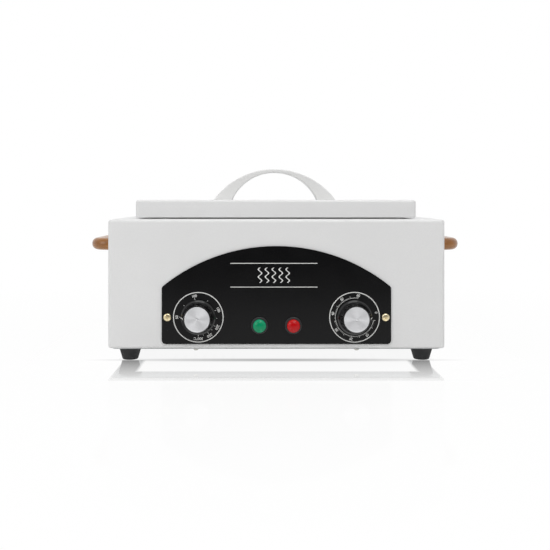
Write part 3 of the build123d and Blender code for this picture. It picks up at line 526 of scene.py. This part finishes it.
poreMask = mapRange(tree, pores, woodLook["poreFrom"], woodLook["poreTo"])
setColour(tree, shader, poreMask, mixedColour(tree, bands, "#8A5518", "#A26A28"), "#70461A")
setGloss(tree, shader, pores, *woodLook["gloss"])
setBump(tree, shader, poreMask, -woodLook["height"])
coverNodes(beech, ["side_handle_left", "side_handle_right"])

# acrylic lamp lenses, moulded: tinted, with a painted light rim where the colour lightens towards the
# edge, and fine rings on the inside
lensLook = {
    "axisX": 17.1, "axisZ": 38.7, "ring": 0.9, "paintedRimFrom": 4.4, "paintedRimTo": 6.5, "cloud": 1.2,
    "height": 0.02, "strength": 0.6, "gloss": (0.16, 0.28),
}
lensMaterials = {}
# the second colour of each pair is the painted rim light, not a tint of the acrylic itself
for lensName, deep, paintedRimLight in (("green", "#008A5C", "#1FB083"), ("red", "#B4060E", "#D42420")):
    lens, tree, shader, where = startMaterial(
        f"acrylic {lensName}, moulded", IOR=1.49, Specular_IOR_Level=0.3
    )
    distance = lengthOf(tree, spokeFrom(tree, where, lensLook))
    # painted rim light: the colour turns from the deep tint to the lighter one between these radii
    edge = mapRange(tree, distance, lensLook["paintedRimFrom"] * mm, lensLook["paintedRimTo"] * mm)
    cloud = noise(tree, where, lensLook["cloud"], Detail=2.0).outputs["Fac"]
    rings = turnedRings(tree, distance, lensLook["ring"])
    setColour(tree, shader, calc(tree, "MULTIPLY", edge, cloud), deep, paintedRimLight)
    setGloss(tree, shader, cloud, *lensLook["gloss"])
    setBump(tree, shader, rings, lensLook["height"], lensLook["strength"])
    lensMaterials[lensName] = lens

# mineral fibre felt: cream, dull, with matted fibres
feltLook = {"swirl": 6, "strandScale": 18.0, "height": 0.35}
fibre, tree, shader, where = startMaterial(
    "mineral fibre felt, needled", Roughness=1.0, Sheen_Weight=0.3, IOR=1.45
)
swirl = noise(tree, where, feltLook["swirl"], Detail=2.0, Distortion=2.5).outputs["Color"]
strands = addNode(
    tree, "TexNoise",
    {"Vector": swirl, "Scale": feltLook["strandScale"], "Detail": 5.0, "Roughness": 0.7},
).outputs["Fac"]
setColour(tree, shader, strands, "#C2BAA2", "#E9E4D4")
setBump(tree, shader, strands, feltLook["height"])

print("stage 4: knobs and their pointers")
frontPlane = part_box("control_panel")[0].y  # the panel's outer face
knob = {
    "bore": 3.05, "boreDepth": 11.0, "hub": 5.5, "cavity": 14.9, "cavityDepth": 2.4,
    "skirt": (17.5, 1.3), "neck": (14.2, 11.0), "flareDepth": 1.6, "flareSteps": 9, "edge": 0.3,
    "top": ((13.42, 16.2), (13.15, 16.5), (12.55, 16.5), (12.55, 15.7)), "steps": 128,
}
pointer = {
    "line": ((17.4, 0.6), (17.4, 2.6), (16.6, 5.2), (15.7, 8.2), (14.75, 11.3), (13.9, 16.45)),
    "rib": {"rise": 0, "depth": 3.6, "width": 1.9, "soften": 0.3},
    "paint": {"rise": 0.08, "depth": 0.3, "width": 1.3, "soften": 0.08},
}


def flarePoints(look):
    # the hollow curve from the skirt's edge up to the grip, as a parabola of the given depth
    (r0, h0), (r1, h1) = look["skirt"], look["neck"]
    chord = math.hypot(r1 - r0, h1 - h0)
    inR, inH = (h0 - h1) / chord, (r1 - r0) / chord
    points = []
    for i in range(look["flareSteps"] + 1):
        t = i / look["flareSteps"]
        sag = 4 * look["flareDepth"] * t * (1 - t)
        points.append((r0 + t * (r1 - r0) + sag * inR, h0 + t * (h1 - h0) + sag * inH))
    return points


def pointerStrip(name, look):
    # one narrow face drawn up the knob along the pointer's line, then given its depth and softened
    line = [((u + look["rise"] - look["depth"] / 2) * mm, v * mm) for u, v in pointer["line"]]
    middleX = line[0][0] - 0.5 * mm  # a 1 mm plane whose outer edge stands on the line's start
    deselectAll()
    bpy.ops.mesh.primitive_plane_add(size=1)
    strip = bpy.context.object
    strip.name = name
    strip.scale = (1 * mm, look["width"] * mm, 1)
    strip.location = (middleX, 0, line[0][1])
    bakePlace(strip)
    pickVertices(strip, lambda where: where.x < middleX)
    bpy.ops.mesh.delete(type="VERT")
    bpy.ops.mesh.select_all(action="SELECT")
    for (ua, va), (ub, vb) in zip(line, line[1:]):
        bpy.ops.mesh.extrude_region_move(TRANSFORM_OT_translate={"value": (ub - ua, 0, vb - va)})
    cleanMesh(strip)
    applyModifier(strip, "SOLIDIFY", thickness=look["depth"] * mm, offset=0.0)
    applyModifier(strip, "BEVEL", width=look["soften"] * mm, segments=2, limit_method="ANGLE")
    cleanMesh(strip, 40)
    return strip


skirt, edge, cavityDepth = knob["skirt"][0], knob["edge"], knob["cavityDepth"]
knobRings = [(knob["bore"], knob["boreDepth"]), (knob["bore"], 0), (knob["hub"], 0)]
knobRings += [(knob["hub"], cavityDepth), (knob["cavity"], cavityDepth), (knob["cavity"], 0)]
knobRings += [(skirt - edge, 0), (skirt, edge), *flarePoints(knob), *knob["top"]]
for knobName, pointerTurn in (("temperature", 180), ("timer", 0)):
    low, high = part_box(f"{knobName}_knob")
    axisX, axisZ = middleOf((low, high))
    body = turnedPiece(f"{knobName}_knob_moulding", knobRings, knob["steps"])
    faceFront(body, axisX, high.y, axisZ)
    cover(body, glossPhenolic)
    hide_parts(f"{knobName}_knob")
    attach(body, f"{knobName}_knob")

    # the moulded rib, and the white paint along its edge
    rib = pointerStrip(f"{knobName}_knob_rib", pointer["rib"])
    paint = pointerStrip(f"{knobName}_knob_pointer", pointer["paint"])
    strips = ((rib, glossPhenolic, "black_plastic"), (paint, screenInk, "white_nylon"))
    for strip, material, slot in strips:
        faceFront(strip, axisX, high.y, axisZ, pointerTurn)
        cover(strip, material)
        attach(strip, f"{knobName}_knob")

print("stage 5: screws and lenses on the panel")
screwHead = {
    "outline": (
        (1.9, -4.4), (1.9, 0), (3.75, 0), (4.0, 0.25), (4.0, 1.0),
        (3.85, 1.5), (3.4, 1.95), (2.6, 2.25), (1.4, 2.4), (0.4, 2.4),
    ),
    "radius": 4, "height": 2.4, "slotLength": 4.6, "slotWidth": 0.95, "slotDepth": 1.5,
    "bladeMiddle": 2.5, "bladeLow": 2, "taper": (0.45, 0.6, 1), "turns": (20, 65),
}


def recessBlade(turn):
    # a wedge, narrower at the bottom, that cuts one arm of the cross
    deselectAll()
    bpy.ops.mesh.primitive_cube_add(size=1, location=(0, 0, screwHead["bladeMiddle"] * mm))
    blade = bpy.context.object
    slot = (screwHead["slotLength"], screwHead["slotWidth"], 2 * screwHead["slotDepth"])
    blade.scale = [side * mm for side in slot]
    bakePlace(blade)
    pickVertices(blade, lambda where: where.z < screwHead["bladeLow"] * mm)
    bpy.ops.transform.resize(value=screwHead["taper"], center_override=(0, 0, 0))
    bpy.ops.object.mode_set(mode="OBJECT")
    blade.rotation_euler = (0, 0, math.radians(turn))
    bakePlace(blade)
    return blade


low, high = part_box("panel_screws")
screwZ = (low.z + high.z) / 2
screws = []
for side, turn in zip((-1, 1), screwHead["turns"]):
    screw = turnedPiece("screwBlank", screwHead["outline"], 64)
    for blade in [recessBlade(turn), recessBlade(turn + 90)]:
        applyModifier(screw, "BOOLEAN", operation="DIFFERENCE", object=blade, solver="EXACT")
        bpy.data.objects.remove(blade)
    cleanMesh(screw, 40)
    screwX = side * (high.x - screwHead["radius"] * mm)
    faceFront(screw, screwX, low.y + screwHead["height"] * mm, screwZ)
    screws.append(screw)
panelScrews = joinPieces(screws, "panel_screws_recessed")
cover(panelScrews, paleBrass)
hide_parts("panel_screws")
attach(panelScrews, "housing")

lensShape = (
    (6.2, 0), (6.5, 0.2), (6.5, 4.3), (6.38, 4.8), (6.0, 5.35),
    (5.35, 5.95), (4.4, 6.45), (3.1, 6.88), (1.6, 7.12), (0.5, 7.2),
)
for lensName in ("green", "red"):
    low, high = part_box(f"{lensName}_lamp_lens")
    lensX, lensZ = middleOf((low, high))
    lensPiece = turnedPiece(f"{lensName}_lens_moulded", lensShape, 72)
    faceFront(lensPiece, lensX, high.y, lensZ)
    cover(lensPiece, lensMaterials[lensName])
    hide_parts(f"{lensName}_lamp_lens")
    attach(lensPiece, "housing")

print("stage 6: printing on the panel")
# bold is the outward offset of a letter's outline, as a share of its size
ink = {"height": 0.03, "lift": 0.01, "bold": 0.02}


def raiseInk():
    # in edit mode: gives the flat print its thickness
    bpy.ops.mesh.select_all(action="SELECT")
    up = (0, 0, ink["height"] * mm)
    bpy.ops.mesh.extrude_region_move(TRANSFORM_OT_translate={"value": up})
    bpy.ops.object.mode_set(mode="OBJECT")


def inkBar(place, size, turn):
    # a short printed line of (length, width), long along local Y before it is turned
    deselectAll()
    bpy.ops.mesh.primitive_plane_add(size=1)
    bar = bpy.context.object
    bar.scale = (size[1] * mm, size[0] * mm, 1)
    bakePlace(bar)
    bpy.ops.object.mode_set(mode="EDIT")
    raiseInk()
    bar.rotation_euler = (0, 0, -math.radians(turn))
    bar.location = (place[0] * mm, place[1] * mm, 0)
    bakePlace(bar)
    return bar


def inkRing(outer, inner, steps=160):
    deselectAll()
    bpy.ops.mesh.primitive_circle_add(vertices=steps, radius=outer * mm, fill_type="NOTHING")
    ring = bpy.context.object
    share = inner / outer
    bpy.ops.object.mode_set(mode="EDIT")
    bpy.ops.mesh.select_mode(type="EDGE")
    bpy.ops.mesh.select_all(action="SELECT")
    bpy.ops.mesh.extrude_region_move(TRANSFORM_OT_translate={"value": (0, 0, 0)})
    bpy.ops.transform.resize(value=(share, share, 1), center_override=(0, 0, 0))
    raiseInk()
    return ring


def inkText(words, place, size, turn):
    deselectAll()
    bpy.ops.object.text_add(location=(0, 0, 0))
    text = bpy.context.object
    text.data.body = words
    text.data.size = size * mm
    text.data.align_x = "CENTER"
    text.data.align_y = "CENTER"
    text.data.extrude = ink["height"] * mm / 2
    text.data.offset = ink["bold"] * size * mm
    bpy.ops.object.convert(target="MESH")
    text.rotation_euler = (0, 0, -math.radians(turn))
    text.location = (place[0] * mm, place[1] * mm, ink["height"] * mm / 2)
    bakePlace(text)
    return text


def placePrint(parts, name, x, z):
    printed = joinPieces(parts, name)
    cleanMesh(printed)
    faceFront(printed, x, frontPlane - ink["lift"] * mm, z)
    cover(printed, screenInk)
    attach(printed, "housing")


def onDial(radius, clockAngle):
    angle = math.radians(clockAngle)
    return radius * math.sin(angle), radius * math.cos(angle)


def ringAndNumbers(dial):
    parts = [inkRing(*dial["ring"])]
    for number, clockAngle in dial["numbers"]:
        place = onDial(dial["numberRadius"], clockAngle)
        parts.append(inkText(number, place, dial["textSize"], clockAngle))
    return parts


temperatureDial = {
    "ring": (25.5, 24.6), "numberRadius": 21.6, "textSize": 3.7,
    "numbers": (("50", 270), ("100", 349), ("150", 69), ("200", 118), ("250", 148), ("300°C", 180)),
    "tickRadius": 18.7, "longTick": (1.7, 0.45), "shortTick": (0.8, 0.5),
    "between": (309, 29, 94, 133, 164),
}
parts = ringAndNumbers(temperatureDial)
ticks = [(clockAngle, temperatureDial["longTick"]) for _, clockAngle in temperatureDial["numbers"]]
ticks += [(clockAngle, temperatureDial["shortTick"]) for clockAngle in temperatureDial["between"]]
for clockAngle, size in ticks:
    parts.append(inkBar(onDial(temperatureDial["tickRadius"], clockAngle), size, clockAngle))
placePrint(parts, "temperature_dial_print", *middleOf(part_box("temperature_knob_cap")))

timerDial = {
    "ring": (25.6, 24.7), "numberRadius": 22.2, "textSize": 3.5,
    "numbers": (
        ("10", 144.3), ("20", 189.3), ("30", 234.5), ("40", 279.6), ("50", 324.8), ("60", 9.8),
        ("0", 78),
    ),
    "from": 99, "step": 4.513, "count": 60, "perLongTick": 5,
    "arcRadius": 19.3, "arcWidth": 0.35, "arcLap": 0.1,
    "longTick": (1.9, 0.45), "shortTick": (0.9, 0.3),
}
parts = ringAndNumbers(timerDial)
arcRadius = timerDial["arcRadius"]
arcLength = arcRadius * math.radians(timerDial["step"]) + timerDial["arcLap"]
for i in range(timerDial["count"] + 1):
    clockAngle = timerDial["from"] + i * timerDial["step"]
    tick = timerDial["longTick"] if i % timerDial["perLongTick"] == 0 else timerDial["shortTick"]
    parts.append(inkBar(onDial(arcRadius + tick[0] / 2, clockAngle), tick, clockAngle))
    if i < timerDial["count"]:
        middle = clockAngle + timerDial["step"] / 2
        parts.append(inkBar(onDial(arcRadius, middle), (arcLength, timerDial["arcWidth"]), middle + 90))
placePrint(parts, "timer_dial_print", *middleOf(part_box("timer_knob_cap")))

# plain heat mark: wavy strokes between two rules
heatMark = {
    "x": -2.6, "z": 89.5, "rule": (88, 0.7), "ruleGap": 24,
    "wave": 15, "swing": 1.7, "stroke": 1.3, "start": 0.4, "stations": 24, "pitch": 7, "waves": 5,
}
parts = [inkBar((0, side * heatMark["ruleGap"] / 2), heatMark["rule"], 90) for side in (-1, 1)]
waveFoot, stations = -heatMark["wave"] / 2 * mm, heatMark["stations"]
deselectAll()
bpy.ops.mesh.primitive_plane_add(size=1)
wave = bpy.context.object
wave.scale = (heatMark["stroke"] * mm, heatMark["start"] * mm, 1)
wave.location = (0, waveFoot, 0)
bakePlace(wave)
pickVertices(wave, lambda where: where.y > waveFoot)
for i in range(stations):
    # two full swings from foot to top
    turnFrom, turnTo = [4 * math.pi * station / stations for station in (i, i + 1)]
    sway = heatMark["swing"] * (math.sin(turnTo) - math.sin(turnFrom))
    step = (sway * mm, heatMark["wave"] / stations * mm, 0)
    bpy.ops.mesh.extrude_region_move(TRANSFORM_OT_translate={"value": step})
raiseInk()
for i in range(heatMark["waves"]):
    stroke = copyPiece(wave, "waveStroke")
    stroke.location = ((i - (heatMark["waves"] - 1) / 2) * heatMark["pitch"] * mm, 0, 0)
    bakePlace(stroke)
    parts.append(stroke)
bpy.data.objects.remove(wave)
placePrint(parts, "heat_mark_print", heatMark["x"] * mm, heatMark["z"] * mm)

print("stage 7: felt packing")
felt = {"voxel": 2.5, "swell": 0.5, "lump": 0.03, "sink": 0.85}
for nodeName in ("insulation_blanket", "lid_packing"):
    piece = copyPiece(nodes[nodeName], nodeName + "_felt")
    piece.parent = None
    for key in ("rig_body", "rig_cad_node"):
        del piece[key]
    cleanMesh(piece)
    applyModifier(piece, "REMESH", mode="VOXEL", voxel_size=felt["voxel"] * mm)
    lumps = bpy.data.textures.new(nodeName + "_lumps", type="CLOUDS")
    lumps.noise_scale = felt["lump"]
    applyModifier(
        piece, "DISPLACE", texture=lumps, strength=felt["swell"] * mm, mid_level=felt["sink"],
        texture_coords="LOCAL",
    )
    cleanMesh(piece, 60)
    cover(piece, fibre)
    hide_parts(nodeName)
    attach(piece, "lid" if nodeName == "lid_packing" else "housing")

print("stage 8: floor, lights and camera")
stage = {
    "width": 8.0, "front": -0.6, "back": 4.0, "drop": 0.0002,
    "fadeFrom": 0.24, "fadeTo": 0.75, "glow": 0.9,
}
deselectAll()
bpy.ops.mesh.primitive_plane_add(
    size=1, location=(0, (stage["front"] + stage["back"]) / 2, -stage["drop"])
)
floor = bpy.context.object
floor.name = "studio_floor"
floor.scale = (stage["width"], stage["back"] - stage["front"], 1)
bakePlace(floor)

# glossy laminate that fades into the white of the room
laminate, tree, shader, where = startMaterial("laminate white, glossy", Roughness=0.06)
shader.inputs["Base Color"].default_value = hexColour("#F0F0EF")
fade = mapRange(
    tree, lengthOf(tree, where), stage["fadeFrom"], stage["fadeTo"], stage["glow"]
)
rays = addNode(tree, "LightPath").outputs
seen = calc(tree, "MAXIMUM", rays["Is Camera Ray"], rays["Is Glossy Ray"])
seen = calc(tree, "MAXIMUM", seen, rays["Is Transmission Ray"])
glow = addNode(tree, "Emission", {"Color": (1, 1, 1, 1), "Strength": 1.0}).outputs[0]
faded = mixedShader(tree, calc(tree, "MULTIPLY", seen, fade), shader.outputs[0], glow)

# polish: the floor mirrors only close in front of and beside the feet, and less with each millimetre
floorPolish = {
    "middleY": 6.1, "halfX": 163, "halfY": 84, "near": 0.75, "far": 0.2, "reach": 90, "end": 94,
    "start": 1, "feetFrom": 134, "feetTo": 138, "frontFrom": 50, "frontTo": 56,
    "roughness": 0.02,
}
split = addNode(tree, "SeparateXYZ", {"Vector": where}).outputs
fromY = calc(tree, "SUBTRACT", split["Y"], floorPolish["middleY"] * mm)
sizeX, sizeY = [calc(tree, "ABSOLUTE", side) for side in (split["X"], fromY)]
pastX = calc(tree, "MAXIMUM", calc(tree, "SUBTRACT", sizeX, floorPolish["halfX"] * mm), 0.0)
pastY = calc(tree, "MAXIMUM", calc(tree, "SUBTRACT", sizeY, floorPolish["halfY"] * mm), 0.0)
span = lengthOf(tree, addNode(tree, "CombineXYZ", {"X": pastX, "Y": pastY}).outputs[0])
reach, end = floorPolish["reach"] * mm, floorPolish["end"] * mm
polish = mapRange(tree, span, 0.0, reach, floorPolish["near"], floorPolish["far"])
polish = calc(tree, "MULTIPLY", polish, mapRange(tree, span, reach, end, 1.0, 0.0))
polish = calc(tree, "MULTIPLY", polish, mapRange(tree, span, 0.0, floorPolish["start"] * mm))
# between the feet the mirror starts further out, so that it shows the front and not the underside
atFeet = mapRange(tree, sizeX, floorPolish["feetFrom"] * mm, floorPolish["feetTo"] * mm)
atFront = mapRange(tree, span, floorPolish["frontFrom"] * mm, floorPolish["frontTo"] * mm)
polish = calc(tree, "MULTIPLY", polish, calc(tree, "MAXIMUM", atFeet, atFront))
mirror = addNode(
    tree, "BsdfGlossy", {"Color": (1, 1, 1, 1), "Roughness": floorPolish["roughness"]}
).outputs[0]
polished = mixedShader(tree, polish, faded, mirror)

# contact shadow: a narrow line along the front feet that thins out to both ends
contact = {"y": -77, "halfLength": 205, "halfDepth": 10, "depth": 0.6}
offLine = vectorCalc(tree, "SUBTRACT", where, (0, contact["y"] * mm, 0))
shares = (1 / (contact["halfLength"] * mm), 1 / (contact["halfDepth"] * mm), 0)
offLine = lengthOf(tree, vectorCalc(tree, "MULTIPLY", offLine, shares))
shade = mapRange(tree, offLine, toMin=contact["depth"], toMax=0.0)
unlit = addNode(tree, "BsdfDiffuse", {"Color": (0, 0, 0, 1)}).outputs[0]
shaded = mixedShader(tree, shade, polished, unlit)
tree.links.new(shaded, tree.nodes["Material Output"].inputs["Surface"])
cover(floor, laminate)
floor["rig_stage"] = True

# white walls behind and beside; the camera's side of the room is dark in its middle
studio = {
    "darkTo": -0.95, "lightFrom": -0.78, "dark": 0.05, "light": 0.6,
    "wallFrom": -0.1, "wallTo": 0.2, "wall": 0.4, "backdrop": 1.0,
}
world = bpy.data.worlds.new("studio")
bpy.context.scene.world = world
world.use_nodes = True
tree = world.node_tree
tree.nodes.clear()
facing = addNode(tree, "TexCoord").outputs["Generated"]
forward = addNode(tree, "SeparateXYZ", {"Vector": facing}).outputs["Y"]
room = mapRange(
    tree, forward, studio["darkTo"], studio["lightFrom"], studio["dark"], studio["light"]
)
rays = addNode(tree, "LightPath").outputs
# the polished floor mirrors the lit wall behind the part
wall = mapRange(tree, forward, studio["wallFrom"], studio["wallTo"], toMax=studio["wall"])
room = calc(tree, "ADD", room, calc(tree, "MULTIPLY", wall, rays["Is Glossy Ray"]))
strength = addNode(
    tree, "Mix", {0: rays["Is Camera Ray"], 2: room, 3: studio["backdrop"]}, data_type="FLOAT"
).outputs[0]
background = addNode(tree, "Background", {"Color": (1, 1, 1, 1), "Strength": strength})
addNode(tree, "OutputWorld", {"Surface": background.outputs[0]})

for lampName, place, aim, size, power in (
    ("key", (0.35, -1.1, 1.25), (0, 0, 0.08), 0.8, 8.2),
    ("fill", (-0.95, -1.0, 0.6), (0, 0, 0.08), 0.9, 4.4),
    ("top", (0.0, 0.1, 1.5), (0, 0, 0.1), 1.0, 3.8),
):
    deselectAll()
    bpy.ops.object.light_add(type="AREA", location=place)
    lamp = bpy.context.object
    lamp.name = lampName
    lamp.data.shape = "SQUARE"
    lamp.data.size = size
    lamp.data.energy = power
    x, y, z = [a - b for a, b in zip(aim, place)]
    lamp.rotation_euler = (math.atan2(math.hypot(x, y), -z), 0, math.atan2(-x, y))

view = {
    "place": (-0.0183, -0.8749, 0.1645), "lens": 50.4, "sensor": 36,
    "shiftX": 0.0303, "shiftY": -0.1345, "near": 0.01, "far": 50,
}
deselectAll()
bpy.ops.object.camera_add(location=view["place"], rotation=(math.pi / 2, 0, 0))
camera = bpy.context.object
camera.data.lens = view["lens"]
camera.data.sensor_width = view["sensor"]
camera.data.shift_x = view["shiftX"]
camera.data.shift_y = view["shiftY"]
camera.data.clip_start, camera.data.clip_end = view["near"], view["far"]
bpy.context.scene.camera = camera
bpy.context.scene.view_settings.view_transform = "Standard"

low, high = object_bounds()
